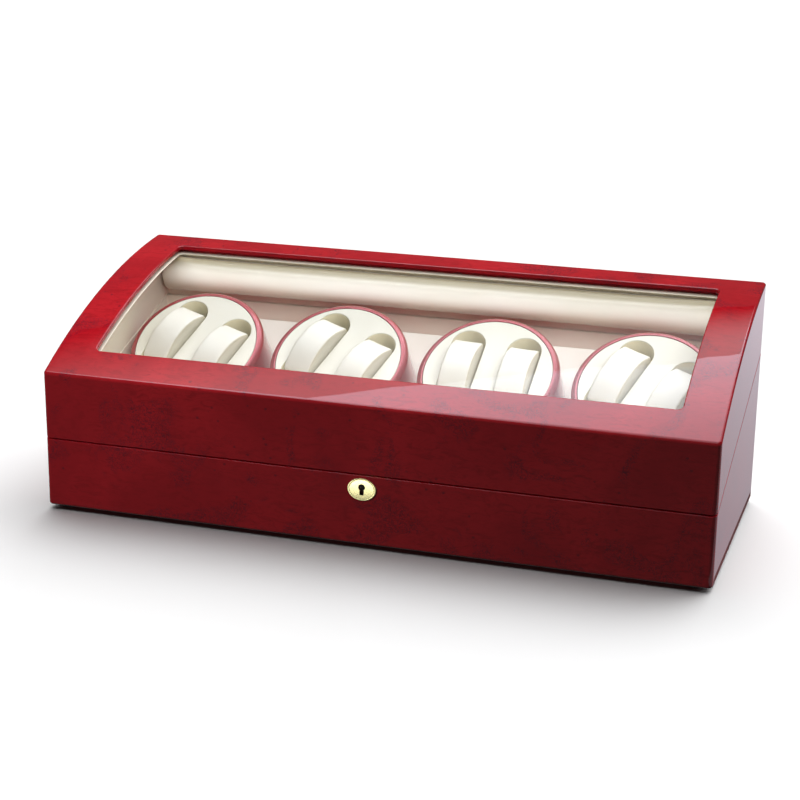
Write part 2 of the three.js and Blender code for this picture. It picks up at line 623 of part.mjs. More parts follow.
// One sheet-steel channel, screwed under the deck, that carries all four motors.
function motorRail() {
  const half = WIDTH / 2 - WALL - LINER - 8;
  const top = -DECK_DROP - DECK_THICKNESS - 2 * CLEAR;
  const plate = block(-half, half, -RAIL_HALF_WIDTH, RAIL_HALF_WIDTH, RAIL_TOP - RAIL_SHEET, RAIL_TOP);
  const flange = (y) => block(-half, half, y, y + RAIL_SHEET, RAIL_TOP - RAIL_SHEET, top);
  const channel = plate.add(flange(-RAIL_HALF_WIDTH)).add(flange(RAIL_HALF_WIDTH - RAIL_SHEET));
  return tableCentres.reduce(
    (rail, x) => rail.subtract(post(4, RAIL_TOP - 5, RAIL_TOP + 1, 16).translate([x + driveOffset, 0, 0])),
    channel,
  );
}

function drum() {
  const lip = [0, 1 / 3, 2 / 3, 1].map((t) => {
    const a = t * Math.PI / 2;
    return [DRUM_RADIUS - LIP_ROUND + LIP_ROUND * Math.cos(a), -LIP_ROUND + LIP_ROUND * Math.sin(a)];
  });
  return turned([
    [SPINDLE_RADIUS + CLEAR, -DRUM_HEIGHT], [DRUM_RADIUS - 1, -DRUM_HEIGHT], [DRUM_RADIUS, -DRUM_HEIGHT + 1],
    ...lip, [DRUM_INNER, -0.8], [DRUM_INNER, -DRUM_HEIGHT + DRUM_FLOOR],
    [SPINDLE_RADIUS + CLEAR, -DRUM_HEIGHT + DRUM_FLOOR],
  ], 40);
}

function stadium(x) {
  const run = POCKET_HALF_LENGTH - POCKET_HALF_WIDTH;
  const shape = new THREE.Shape();
  shape.absarc(x, run, POCKET_HALF_WIDTH, 0, Math.PI);
  shape.absarc(x, -run, POCKET_HALF_WIDTH, Math.PI, Math.PI * 2);
  return shape;
}

// Cream block that fills the drum, with two deep pockets for the watch cushions.
function insert() {
  const body = post(DRUM_INNER - CLEAR, -DRUM_HEIGHT + DRUM_FLOOR + CLEAR, 0, 40);
  return [-POCKET_OFFSET, POCKET_OFFSET].reduce(
    (part, x) => part.subtract(alongZ(stadium(x), -POCKET_DEPTH, 1, 10)),
    body,
  );
}

// A watch cushion, seen from its side: arched top, straight ends and a rounded underside.
function cushion() {
  const half = CUSHION_HALF_LENGTH;
  const radius = (half * half + CUSHION_CROWN * CUSHION_CROWN) / (2 * CUSHION_CROWN);
  const reach = Math.asin(half / radius);
  const shape = new THREE.Shape();
  shape.absarc(0, CUSHION_CROWN - radius, radius, Math.PI / 2 - reach, Math.PI / 2 + reach);
  shape.absellipse(0, -CUSHION_WAIST, half, CUSHION_DEPTH - CUSHION_WAIST, Math.PI, Math.PI * 2);
  return alongX(shape, -CUSHION_HALF_WIDTH, CUSHION_HALF_WIDTH, 10);
}

// ---------------------------------------------------------------- assembly
function assembleCase() {
  piece(caseGroup, "base_shell", baseShell(), lacquer);
  piece(caseGroup, "bottom_panel", bottomPanel(), rawPanel);
  piece(caseGroup, "base_liner", baseLiner(), cream);
  piece(caseGroup, "deck_panel", deckPanel(), cream);
  for (const [end, y] of [["front", FOOT_INSET], ["rear", DEPTH - FOOT_INSET]]) {
    for (const [hand, side] of [["left", -1], ["right", 1]]) {
      piece(caseGroup, `foot_${end}_${hand}`, foot(), rubber)
        .position.set(side * (WIDTH / 2 - FOOT_INSET), y, 0);
    }
  }
  for (const [hand, x] of [["left", -HINGE_X], ["right", HINGE_X]]) {
    piece(caseGroup, `hinge_base_leaf_${hand}`, hingeLeaf(x, -1), brass);
    piece(caseGroup, `hinge_lid_leaf_${hand}`, hingeLeaf(x, 1), brass);
    piece(caseGroup, `hinge_pin_${hand}`, hingePin(x), steel);
  }
}

function assembleLid() {
  piece(caseGroup, "lid_shell", lidShell(), lacquer);
  piece(caseGroup, "window_pane", windowPane(), glass);
  piece(caseGroup, "lid_liner", lidLiner(), cream);
  piece(caseGroup, "lid_bolster", lidBolster(), cream);
  piece(caseGroup, "strike_plate", strikePlate(), brass);
}

function assembleLock() {
  piece(caseGroup, "lock_escutcheon", escutcheon(), brass);
  piece(caseGroup, "lock_case", lockCase(), steel);
  piece(caseGroup, "lock_tumbler", lockTumbler(), steel);
  piece(caseGroup, "lock_bolt", lockBolt(), brass);
}

function assembleRear() {
  piece(caseGroup, "rear_panel", rearPanel(), blackPlastic);
  piece(caseGroup, "dc_socket", dcSocket(), blackPlastic);
  piece(caseGroup, "mode_knob", modeKnob(), blackPlastic);
  piece(caseGroup, "control_board", controlBoard(), board);
}

function assembleTurntable(i) {
  const slope = new THREE.Group(); // local Z along the turntable's axis, origin at its face
  slope.position.set(tableCentres[i], TABLE_Y, TABLE_Z);
  slope.rotation.x = TABLE_TILT;
  caseGroup.add(slope);
  const n = i + 1;
  piece(slope, `bearing_bush_${n}`, bearingBush(), bronze);
  piece(slope, `motor_${n}`, motor(), steel).position.x = driveOffset;
  piece(slope, `pinion_${n}`, pinion(), gearPlastic).position.x = driveOffset;
  piece(slope, `spindle_gear_${n}`, spindleGear(), gearPlastic);
  const turning = new THREE.Group();
  turning.rotation.z = TABLE_SPIN[i];
  slope.add(turning);
  piece(turning, `drum_${n}`, drum(), lacquer);
  piece(turning, `insert_${n}`, insert(), cream);
  for (const [hand, side] of [["left", -1], ["right", 1]]) {
    piece(turning, `cushion_${n}_${hand}`, cushion(), cream).position.x = side * POCKET_OFFSET;
  }
}

assembleCase();
assembleLid();
assembleLock();
assembleRear();
const rail = piece(caseGroup, "motor_rail", motorRail(), steel);
rail.position.set(0, TABLE_Y, TABLE_Z);
rail.rotation.x = TABLE_TILT;
for (let i = 0; i < TABLES; i += 1) assembleTurntable(i);

export default object;
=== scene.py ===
import json
import math

import bmesh
import bpy
from mathutils import Matrix, Vector

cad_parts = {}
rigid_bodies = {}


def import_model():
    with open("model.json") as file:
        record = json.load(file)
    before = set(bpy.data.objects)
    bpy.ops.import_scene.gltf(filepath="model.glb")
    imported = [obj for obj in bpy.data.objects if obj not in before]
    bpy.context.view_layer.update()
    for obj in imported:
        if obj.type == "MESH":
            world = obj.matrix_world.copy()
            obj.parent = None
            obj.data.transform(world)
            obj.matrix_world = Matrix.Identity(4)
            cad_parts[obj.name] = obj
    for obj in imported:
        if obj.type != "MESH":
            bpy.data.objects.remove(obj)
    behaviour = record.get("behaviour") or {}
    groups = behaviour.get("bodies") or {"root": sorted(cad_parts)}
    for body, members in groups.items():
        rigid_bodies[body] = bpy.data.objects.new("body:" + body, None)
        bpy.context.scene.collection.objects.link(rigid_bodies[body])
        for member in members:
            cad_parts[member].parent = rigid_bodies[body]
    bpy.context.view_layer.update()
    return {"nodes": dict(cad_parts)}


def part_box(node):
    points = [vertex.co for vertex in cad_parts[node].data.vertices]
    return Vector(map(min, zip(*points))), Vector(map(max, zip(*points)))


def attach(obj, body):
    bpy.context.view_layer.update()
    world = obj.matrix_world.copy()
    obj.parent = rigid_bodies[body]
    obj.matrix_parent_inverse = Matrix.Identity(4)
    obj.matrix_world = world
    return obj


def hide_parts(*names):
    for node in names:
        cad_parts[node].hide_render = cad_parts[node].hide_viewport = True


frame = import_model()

# ---------------------------------------------------------------- driving sizes, in millimetres
# The case is drawn from its front lower edge: x from the middle, y from the front face,
# z from the underside. point() turns that into the frame's metres.
MM = 0.001
BASE_LOW, BASE_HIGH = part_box("base_shell")
HALF_WIDTH = BASE_HIGH.x / MM
DEPTH = (BASE_HIGH.y - BASE_LOW.y) / MM
UNDERSIDE = BASE_LOW.z

PART_FRONT = 56
PART_BACK = 126
PART_GAP = 0.6
PART_ROUND = 0.35
PART_OPEN = 0.4
RIM_OUTER = 3
RIM_INNER = 4.5
RIM_SINK = 0.9
RIM_CLEAR = 0.1
FRONT_HEIGHT = 111
BACK_HEIGHT = 183.9
ROOF_RISE = 12.5
WALL = 12
ROOF_THICKNESS = 10
CLEAR = 0.3
LINER = 3
UPSTAND = 12
OUTER_ROUND = 2.2
LOWER_ROUND = 2
CASE_CORNER = 4
ROOF_CORNER = 1
INNER_CORNER = 1
LINER_CORNER = 1.5
WINDOW_SIDE = 33.5
WINDOW_FRONT = 27
WINDOW_BACK = DEPTH - 26
WINDOW_CORNER = 4.5
LAP_CORNER = 2
PANE_CORNER = 3
PANE_DEPTH = 3.5
PANE_THICKNESS = 3
PANE_LAP = 6
REVEAL = 0.4
TURN_BACK = 6
BACK_LINER_FRONT = DEPTH - 16
BACK_LINER_REAR = DEPTH - 12.8
CORNER_STEPS = 8
RUN_STEPS = 12
DEPTH_STEPS = 48

TABLES = (1, 2, 3, 4)
TABLE_PITCH = 128
TABLE_TILT = math.radians(38)
TABLE_Y = 122
TABLE_Z = 112
TABLE_SPIN = {1: -18.5, 2: -20.5, 3: -3, 4: -21}
DRUM_RADIUS = 58.5
DRUM_INNER = 53.2
DRUM_HEIGHT = 42.8
DRUM_FLOOR = 4
DECK_DROP = 44
DECK_THICKNESS = 4
TRAY_Z = 24
BUSH_RADIUS = 6.5
POCKET_OFFSET = 23.7
POCKET_HALF_WIDTH = 14.2
POCKET_HALF_LENGTH = 40
POCKET_DEPTH = 31.8
CUSHION_HALF_WIDTH = 13.2
CUSHION_HALF_LENGTH = 29.8
CUSHION_CROWN = 12.5
CUSHION_WAIST = 18
CUSHION_DEPTH = 31.5

BOLSTER_Z = 158.5
BOLSTER_RISE = 26
BOLSTER_DROP = 20
BOLSTER_REACH = 17
CLOTH_STEPS = 20
CLOTH_PRESSURE = 4
PLATE_Z = 45
KEY_Z = 46.5

CAMERA_AZIMUTH = math.radians(17.7)
CAMERA_ELEVATION = math.radians(16.3)
CAMERA_ROLL = math.radians(0.83)
CAMERA_DISTANCE = 1.4668
CAMERA_AIM = Vector((-0.0057, 0, 0.0887))
CAMERA_LENS = 81

DOME_AIM = Vector((0.12, 0.58, 0.80)).normalized()
DOME_STRENGTH = 5.6
DOME_FOCUS = 4
ROOM_GLOSS = 0.09
EDGE_POINT = Vector((-0.29, 0.48, 1.5))
EDGE_TURN = math.radians(50)
BOX_MIDDLE = (0, 0, 0.12)


def point(x, y, z):
    return Vector((x * MM, BASE_LOW.y + y * MM, UNDERSIDE + z * MM))


def parting(y):
    return PART_FRONT + (PART_BACK - PART_FRONT) * y / DEPTH


# the roof is an arc from the front's top edge to the back's
CHORD = math.hypot(DEPTH, BACK_HEIGHT - FRONT_HEIGHT)
ROOF_RADIUS = (CHORD * CHORD / 4 + ROOF_RISE * ROOF_RISE) / (2 * ROOF_RISE)
ROOF_CENTRE_Y = DEPTH / 2 + (ROOF_RADIUS - ROOF_RISE) * (BACK_HEIGHT - FRONT_HEIGHT) / CHORD
ROOF_CENTRE_Z = (FRONT_HEIGHT + BACK_HEIGHT) / 2 - (ROOF_RADIUS - ROOF_RISE) * DEPTH / CHORD


def roof(y, depth=0):
    return ROOF_CENTRE_Z + math.sqrt((ROOF_RADIUS - depth) ** 2 - (y - ROOF_CENTRE_Y) ** 2)


# ---------------------------------------------------------------- material helpers
class Material:
    """A node material: add() makes a node, join() links two sockets."""

    def __init__(self, name, **surface):
        self.data = bpy.data.materials.new(name)
        self.data.use_nodes = True
        self.tree = self.data.node_tree
        self.shader = self.tree.nodes["Principled BSDF"]
        for socket, value in surface.items():
            self.shader.inputs[socket.replace("_", " ")].default_value = value
        self.place = self.add("ShaderNodeTexCoord").outputs["Object"]

    def add(self, kind, settings=None, **inputs):
        made = self.tree.nodes.new(kind)
        for name, value in (settings or {}).items():
            setattr(made, name, value)
        for name, value in inputs.items():
            made.inputs[name.replace("_", " ")].default_value = value
        return made

    def join(self, source, target):
        self.tree.links.new(source, target)

    def stretched(self, x, y, z):
        mapping = self.add("ShaderNodeMapping", Scale=(x, y, z))
        self.join(self.place, mapping.inputs["Vector"])
        return mapping.outputs["Vector"]

    def noise(self, scale, detail=3, roughness=0.5, distortion=0, at=None):
        made = self.add(
            "ShaderNodeTexNoise",
            Scale=scale, Detail=detail, Roughness=roughness, Distortion=distortion,
        )
        self.join(at or self.place, made.inputs["Vector"])
        return made.outputs["Fac"]

    def cells(self, scale, feature="F1", at=None):
        made = self.add("ShaderNodeTexVoronoi", {"feature": feature}, Scale=scale)
        self.join(at or self.place, made.inputs["Vector"])
        return made.outputs["Distance"]

    def ramp(self, source, low, high, start=0.0, end=1.0):
        made = self.add("ShaderNodeMapRange", {"interpolation_type": "SMOOTHSTEP"})
        made.inputs["From Min"].default_value = low
        made.inputs["From Max"].default_value = high
        made.inputs["To Min"].default_value = start
        made.inputs["To Max"].default_value = end
        self.join(source, made.inputs["Value"])
        return made.outputs["Result"]

    def times(self, a, b):
        made = self.add("ShaderNodeMath", {"operation": "MULTIPLY"})
        self.join(a, made.inputs[0])
        self.join(b, made.inputs[1])
        return made.outputs[0]

    def mix(self, factor, first, second):
        """Mixes two colours; each is a socket or an (r, g, b)."""
        made = self.add("ShaderNodeMix", {"data_type": "RGBA"})
        self.join(factor, made.inputs["Factor"])
        for socket, colour in ((made.inputs[6], first), (made.inputs[7], second)):
            if isinstance(colour, tuple):
                socket.default_value = (*colour, 1)
            else:
                self.join(colour, socket)
        return made.outputs[2]

    def colour(self, socket):
        self.join(socket, self.shader.inputs["Base Color"])
        return self

    def rough(self, socket):
        self.join(socket, self.shader.inputs["Roughness"])
        return self

    def bump(self, height, strength, distance):
        made = self.add("ShaderNodeBump", Strength=strength, Distance=distance)
        self.join(height, made.inputs["Height"])
        self.join(made.outputs["Normal"], self.shader.inputs["Normal"])
        return self


# ---------------------------------------------------------------- materials
def lacquer():
    """Clear gloss over red burl: clouds, fine fibre, and patches of small dark curls and eyes."""
    mat = Material(
        "red_burl_lacquer", Roughness=0.6, Coat_Weight=1.0, Coat_Roughness=0.02, Coat_IOR=1.6,
    )
    mat.shader.inputs["Specular IOR Level"].default_value = 0
    clouds = mat.ramp(mat.noise(9, 4, 0.55, 0.8), 0.32, 0.72)
    red = mat.mix(clouds, (0.34, 0.005, 0.011), (0.46, 0.009, 0.016))
    fibre = mat.ramp(mat.noise(190, 4, 0.7, 1.5, mat.stretched(0.35, 1, 1)), 0.42, 0.75)
    red = mat.mix(fibre, red, (0.29, 0.004, 0.009))
    patch = mat.ramp(mat.noise(24, 3, 0.5, 1.0), 0.50, 0.62)
    swirl = mat.noise(150, 3, 0.6, 3.5)
    lines = mat.times(mat.ramp(swirl, 0.45, 0.50), mat.ramp(swirl, 0.56, 0.51))
    faint = mat.ramp(mat.times(patch, lines), 0, 1, 0, 0.75)
    red = mat.mix(faint, red, (0.085, 0.006, 0.018))
    eyes = mat.ramp(mat.cells(95, at=mat.stretched(1, 1, 1.2)), 0.17, 0.07)
    dots = mat.ramp(mat.times(mat.ramp(mat.noise(15, 2), 0.5, 0.6), eyes), 0, 1, 0, 0.6)
    red = mat.mix(dots, red, (0.11, 0.005, 0.014))
    return mat.colour(red).bump(mat.noise(45, 2), 0.015, 0.001)


def leatherette(name, colour, shade, roughness=0.5, grain=1100, seam=None):
    """Fine-grained leatherette; seam is the colour where the mesh's seam attribute is 1."""
    mat = Material(name, Roughness=roughness, Sheen_Weight=0.12, Sheen_Roughness=0.5)
    blotch = mat.ramp(mat.noise(24, 3), 0.35, 0.7)
    tone = mat.mix(blotch, colour, shade)
    if seam:
        stitched = mat.add("ShaderNodeAttribute", {"attribute_name": "seam"})
        tone = mat.mix(stitched.outputs["Fac"], tone, seam)
    mat.colour(tone)
    return mat.bump(mat.cells(grain), 0.1, 0.0004)


def satin():
    """Cream satin, woven along x, with painted shade: it goes tan by height towards its top and bottom."""
    mat = Material("cream_satin", Roughness=0.34, Sheen_Weight=0.35, Sheen_Roughness=0.3)
    threads = mat.noise(900, 2, 0.6, 0, mat.stretched(0.12, 1, 1))
    folds = mat.ramp(mat.noise(14, 2, 0.4, 0.3, mat.stretched(1, 0.3, 0.3)), 0.3, 0.7)
    cream = mat.mix(folds, (0.92, 0.91, 0.84), (0.88, 0.86, 0.77))
    split = mat.add("ShaderNodeSeparateXYZ")
    mat.join(mat.place, split.inputs[0])
    height = split.outputs["Z"]
    # painted shade: tan by height towards the roll's top and bottom, standing in for the shade above and
    # below it
    painted_top_shade = mat.ramp(height, (BOLSTER_Z + 4) * MM, (BOLSTER_Z + 15) * MM)
    under = mat.ramp(height, (BOLSTER_Z + 1) * MM, (BOLSTER_Z - 13) * MM)
    cream = mat.mix(under, cream, (0.53, 0.44, 0.33))
    mat.colour(mat.mix(painted_top_shade, cream, (0.36, 0.31, 0.20)))
    mat.rough(mat.ramp(threads, 0.3, 0.7, 0.28, 0.42))
    return mat.bump(threads, 0.06, 0.0003)


def suede():
    mat = Material("pocket_suede", Roughness=0.85, Sheen_Weight=0.3, Sheen_Roughness=0.5)
    nap = mat.noise(700, 4, 0.7)
    mat.colour(mat.mix(mat.ramp(nap, 0.35, 0.65), (0.96, 0.90, 0.68), (0.90, 0.83, 0.60)))
    return mat.bump(nap, 0.25, 0.0005)


def drum_paint():
    mat = Material(
        "rose_metallic_paint", Metallic=0.3, Roughness=0.3, Coat_Weight=1.0, Coat_Roughness=0.04,
    )
    flake = mat.ramp(mat.cells(2600), 0.1, 0.7)
    mat.colour(mat.mix(flake, (0.58, 0.08, 0.095), (0.50, 0.055, 0.07)))
    return mat.bump(mat.noise(80, 2), 0.015, 0.0006)


def metal(name, colour, dark, roughness, scale=(1, 1, 1), marks=400):
    mat = Material(name, Metallic=1.0, Roughness=roughness)
    grain = mat.noise(marks, 4, 0.65, 0.2, mat.stretched(*scale))
    mat.colour(mat.mix(mat.ramp(grain, 0.35, 0.7), colour, dark))
    mat.rough(mat.ramp(grain, 0.3, 0.7, roughness * 0.75, roughness * 1.3))
    return mat.bump(grain, 0.05, 0.0002)


def moulded(name, colour, shade, roughness, grain=900, depth=0.12):
    mat = Material(name, Roughness=roughness)
    texture = mat.noise(grain, 3, 0.6)
    mat.colour(mat.mix(mat.ramp(texture, 0.4, 0.65), colour, shade))
    return mat.bump(texture, depth, 0.0003)


def fibreboard():
    mat = Material("sealed_fibreboard", Roughness=0.7)
    chips = mat.noise(240, 5, 0.75, 0.6, mat.stretched(0.5, 1, 1))
    mat.colour(mat.mix(mat.ramp(chips, 0.4, 0.62), (0.24, 0.16, 0.10), (0.14, 0.09, 0.055)))
    return mat.bump(chips, 0.2, 0.0005)


def solder_mask():
    mat = Material("solder_mask", Roughness=0.3, Coat_Weight=0.4, Coat_Roughness=0.1)
    tracks = mat.ramp(mat.cells(380, "DISTANCE_TO_EDGE"), 0.10, 0.04)
    mat.colour(mat.mix(tracks, (0.012, 0.09, 0.03), (0.03, 0.19, 0.06)))
    return mat.bump(tracks, 0.2, 0.0003)


def acrylic():
    """A thin clear sheet: light goes straight through, and its gloss lies on top."""
    mat = Material("clear_acrylic")
    mat.tree.nodes.remove(mat.shader)
    clear = mat.add("ShaderNodeBsdfTransparent", Color=(0.985, 0.985, 0.98, 1))
    gloss = mat.add("ShaderNodeBsdfGlossy")
    mat.join(mat.ramp(mat.noise(5, 3, 0.5, 0.4), 0.3, 0.7, 0.01, 0.03), gloss.inputs["Roughness"])
    slant = mat.add("ShaderNodeLayerWeight", Blend=0.5)
    steep = mat.add("ShaderNodeMath", {"operation": "POWER"})
    mat.join(slant.outputs["Facing"], steep.inputs[0])
    steep.inputs[1].default_value = 5
    blend = mat.add("ShaderNodeMixShader")
    mat.join(mat.ramp(steep.outputs[0], 0, 1, 0.04, 1), blend.inputs["Fac"])
    mat.join(clear.outputs["BSDF"], blend.inputs[1])
    mat.join(gloss.outputs["BSDF"], blend.inputs[2])
    mat.join(blend.outputs["Shader"], mat.tree.nodes["Material Output"].inputs["Surface"])
    return mat


def make_materials():
    made = {
        "lacquer": lacquer(),
        "liner": leatherette("cream_leatherette", (0.90, 0.85, 0.73), (0.86, 0.80, 0.67)),
        "deck": leatherette("deck_leatherette", (0.75, 0.74, 0.69), (0.72, 0.70, 0.64)),
        "face": leatherette("white_leatherette", (0.76, 0.755, 0.68), (0.73, 0.72, 0.64), 0.45),
        "cushion": leatherette(
            "cushion_leatherette", (0.72, 0.715, 0.665), (0.69, 0.68, 0.625), 0.42, 1300,
            (0.42, 0.38, 0.27),
        ),
        "satin": satin(),
        "suede": suede(),
        "drum": drum_paint(),
        "brass": metal("polished_brass", (0.95, 0.88, 0.45), (0.91, 0.83, 0.40), 0.3, marks=1500),
        "steel": metal("zinc_plated_steel", (0.62, 0.64, 0.66), (0.48, 0.50, 0.52), 0.35, (0.2, 1, 1)),
        "bronze": metal("sintered_bronze", (0.55, 0.36, 0.18), (0.42, 0.27, 0.13), 0.45, marks=1500),
        "acetal": moulded("moulded_acetal", (0.80, 0.79, 0.74), (0.76, 0.75, 0.69), 0.4, 500, 0.05),
        "plastic": moulded("grained_black_plastic", (0.018, 0.018, 0.02), (0.03, 0.03, 0.032), 0.45),
        "rubber": moulded("black_rubber", (0.012, 0.012, 0.012), (0.022, 0.022, 0.022), 0.75, 600, 0.2),
        "fibreboard": fibreboard(),
        "board": solder_mask(),
        "pane": acrylic(),
    }
    return {name: mat.data for name, mat in made.items()}


MATERIALS = make_materials()


# ---------------------------------------------------------------- mesh helpers
def linked(name, data):
    """A new object in the scene."""
    made = bpy.data.objects.new(name, data)
    bpy.context.scene.collection.objects.link(made)
    return made


def new_object(name, mesh, *materials):
    made = linked(name, mesh)
    for material in materials:
        mesh.materials.append(MATERIALS[material])
    return made


def smooth(obj, angle=35, weighted=True):
    """Smooth shading that breaks at sharp edges, with flat faces kept flat next to small roundings."""
    obj.data.shade_smooth()
    obj.data.set_sharp_from_angle(angle=math.radians(angle))
    if weighted:
        modifier = obj.modifiers.new("weighted_normals", "WEIGHTED_NORMAL")
        modifier.keep_sharp = True
    return obj


def surface(name, rows, material, closed=False):
    """Joins equal closed rows of points; the two ends are capped, or joined when closed."""
    mesh = bpy.data.meshes.new(name)
    count = len(rows[0])
    faces = []
    for i in range(len(rows) if closed else len(rows) - 1):
        low = i * count
        high = (i + 1) % len(rows) * count
        for j in range(count):
            k = (j + 1) % count
            faces.append((low + j, low + k, high + k, high + j))
    if not closed:
        faces.append(tuple(reversed(range(count))))
        faces.append(tuple(range((len(rows) - 1) * count, len(rows) * count)))
    mesh.from_pydata([tuple(p) for row in rows for p in row], [], faces)
    fix = bmesh.new()
    fix.from_mesh(mesh)
    bmesh.ops.remove_doubles(fix, verts=fix.verts, dist=1e-7)
    bmesh.ops.recalc_face_normals(fix, faces=fix.faces)
    fix.to_mesh(mesh)
    fix.free()
    return new_object(name, mesh, material)


def baked(obj):
    """Applies every modifier on obj."""
    deps = bpy.context.evaluated_depsgraph_get()
    mesh = bpy.data.meshes.new_from_object(obj.evaluated_get(deps), depsgraph=deps)
    obj.modifiers.clear()
    obj.data = mesh
    return obj


def cut(obj, *cutters):
    for cutter in cutters:
        modifier = obj.modifiers.new("cut", "BOOLEAN")
        modifier.operation = "DIFFERENCE"
        modifier.solver = "EXACT"
        modifier.object = cutter
        baked(obj)
        bpy.data.objects.remove(cutter)
    return obj


def bevelled(obj, width, segments, angle):
    modifier = obj.modifiers.new("bevel", "BEVEL")
    modifier.width = width * MM
    modifier.segments = segments
    modifier.limit_method = "ANGLE"
    modifier.angle_limit = math.radians(angle)
    return baked(obj)


def arc(start, end, steps):
    return [start + (end - start) * i / steps for i in range(steps + 1)]


def quarter_round(radius, steps):
    """The insets of a quarter round on its two sides: from (radius, 0) to (0, radius)."""
    turn = [math.radians(a) for a in arc(0, 90, steps)]
    return [(radius * (1 - math.sin(a)), radius * (1 - math.cos(a))) for a in turn]


def outline(inset, corner, sides=None):
    """A rounded rectangle in plan, as (x, y) points; all outlines have the same count of points."""
    x0, x1, y0, y1 = sides or (-HALF_WIDTH, HALF_WIDTH, 0, DEPTH)
    x0, x1, y0, y1 = x0 + inset, x1 - inset, y0 + inset, y1 - inset
    r = max(corner, 0.05)
    corners = [
        (x1 - r, y0 + r, -90, DEPTH_STEPS), (x1 - r, y1 - r, 0, RUN_STEPS),
        (x0 + r, y1 - r, 90, DEPTH_STEPS), (x0 + r, y0 + r, 180, RUN_STEPS),
    ]
    points = []
    for i, (cx, cy, start, steps) in enumerate(corners):
        turn = [math.radians(a) for a in arc(start, start + 90, CORNER_STEPS)]
        points += [(cx + r * math.cos(a), cy + r * math.sin(a)) for a in turn]
        nx, ny, following, _ = corners[(i + 1) % 4]
        ax, ay = points[-1]
        bx = nx + r * math.cos(math.radians(following))
        by = ny + r * math.sin(math.radians(following))
        points += [(ax + (bx - ax) * t / steps, ay + (by - ay) * t / steps) for t in range(1, steps)]
    return points


def loop(plan, height):
    """Lifts a plan outline to height, which is a function of y."""
    return [point(x, y, height(y)) for x, y in plan]


def prism(name, shape, low, high, to_world):
    """A closed outline between two levels; to_world places (u, v, level)."""
    rows = [[to_world(u, v, level) for u, v in shape] for level in (low, high)]
    return surface(name, rows, "lacquer")


def front_view(node, grow, top=None):
    """A node's box seen from the front, grown by some millimetres, as (x, z) in metres."""
    low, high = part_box(node)
    above = grow if top is None else top
    x0, x1 = low.x - grow * MM, high.x + grow * MM
    z0, z1 = low.z - grow * MM, high.z + above * MM
    return [(x0, z0), (x1, z0), (x1, z1), (x0, z1)]


def front_prism(name, shape, near, far):
    """A prism from one y to another, in metres."""
    return prism(name, shape, near, far, lambda u, v, y: Vector((u, y, v)))


# ---------------------------------------------------------------- lacquered case
WINDOW = (-HALF_WIDTH + WINDOW_SIDE, HALF_WIDTH - WINDOW_SIDE, WINDOW_FRONT, WINDOW_BACK)


def window_outline(grow, corner=WINDOW_CORNER):
    return outline(-grow, corner, WINDOW)


def between(inner, outer, t):
    return [(a + (c - a) * t, b + (d - b) * t) for (a, b), (c, d) in zip(inner, outer)]


def make_lid_shell():
    edge_round = 1
    lip = PANE_DEPTH - CLEAR
    rows = [
        loop(window_outline(0), lambda y: roof(y, lip)),
        loop(window_outline(0), lambda y: roof(y, edge_round)),
    ]
    for drop, inset in quarter_round(edge_round, 4)[1:]:
        rows.append(loop(window_outline(inset), lambda y, d=drop: roof(y, d)))
    edge = outline(OUTER_ROUND, ROOF_CORNER)
    for t in (0.25, 0.5, 0.75):
        rows.append(loop(between(window_outline(edge_round), edge, t), roof))
    for inset, drop in quarter_round(OUTER_ROUND, 6):
        rows.append(loop(outline(inset, OUTER_ROUND - inset + ROOF_CORNER), lambda y, d=drop: roof(y) - d))
    bottom = PART_GAP + PART_OPEN
    for lift, inset in quarter_round(PART_ROUND, 3):
        rows.append(loop(outline(inset, CASE_CORNER - inset), lambda y, h=lift: parting(y) + bottom + h))
    rows.append(loop(outline(RIM_OUTER, INNER_CORNER), lambda y: parting(y) + bottom))
    rows.append(loop(outline(RIM_INNER, INNER_CORNER), lambda y: parting(y) + PART_GAP))
    rows.append(loop(outline(WALL, INNER_CORNER), lambda y: parting(y) + PART_GAP))
    rows.append(loop(outline(WALL, INNER_CORNER), lambda y: roof(y, ROOF_THICKNESS)))
    rabbet = window_outline(PANE_LAP + CLEAR, LAP_CORNER)
    rows.append(loop(rabbet, lambda y: roof(y, ROOF_THICKNESS)))
    rows.append(loop(rabbet, lambda y: roof(y, lip)))
    made = smooth(surface("lid_shell_lacquered", rows, "lacquer", closed=True))
    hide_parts("lid_shell")
    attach(made, "lid")


def keyhole(grow):
    """A round hole over a slot that widens downward, as (x, z) points."""
    bow = 2.8 + grow
    slot = 1.7 + grow
    foot = KEY_Z - 6.2 - grow
    round_part = [math.radians(a) for a in arc(-52, 232, 20)]
    shape = [(bow * math.cos(a), KEY_Z + bow * math.sin(a)) for a in round_part]
    return shape + [(-slot, foot), (slot, foot)]


